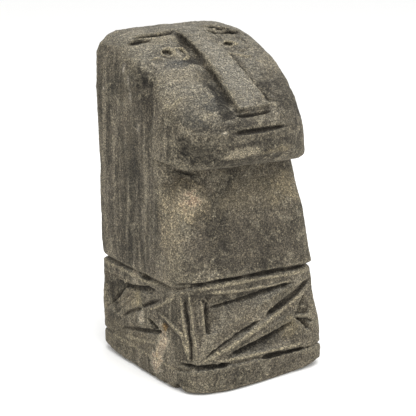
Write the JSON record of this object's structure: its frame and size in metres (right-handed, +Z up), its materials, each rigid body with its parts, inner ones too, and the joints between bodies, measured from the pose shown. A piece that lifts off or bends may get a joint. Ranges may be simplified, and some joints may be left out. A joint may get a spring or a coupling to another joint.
{
  "type": "carved stone head statue",
  "caption": "Grey sandstone head-and-bust figure with a long slab nose, slit mouth and carved band of folded arms; stands on its flat base as a garden or shelf ornament.",
  "frame": {"origin": "on the ground plane, under the middle of the bounding box", "axes": "+Z up, the face looks along -Y, +X is the figure's own left"},
  "size_m": [0.158, 0.172, 0.3275],
  "materials": {
    "sandstone": "matte, open grain"
  },
  "bodies": {
    "root": {"carved_figure": "sandstone"}
  },
  "joints": []
}
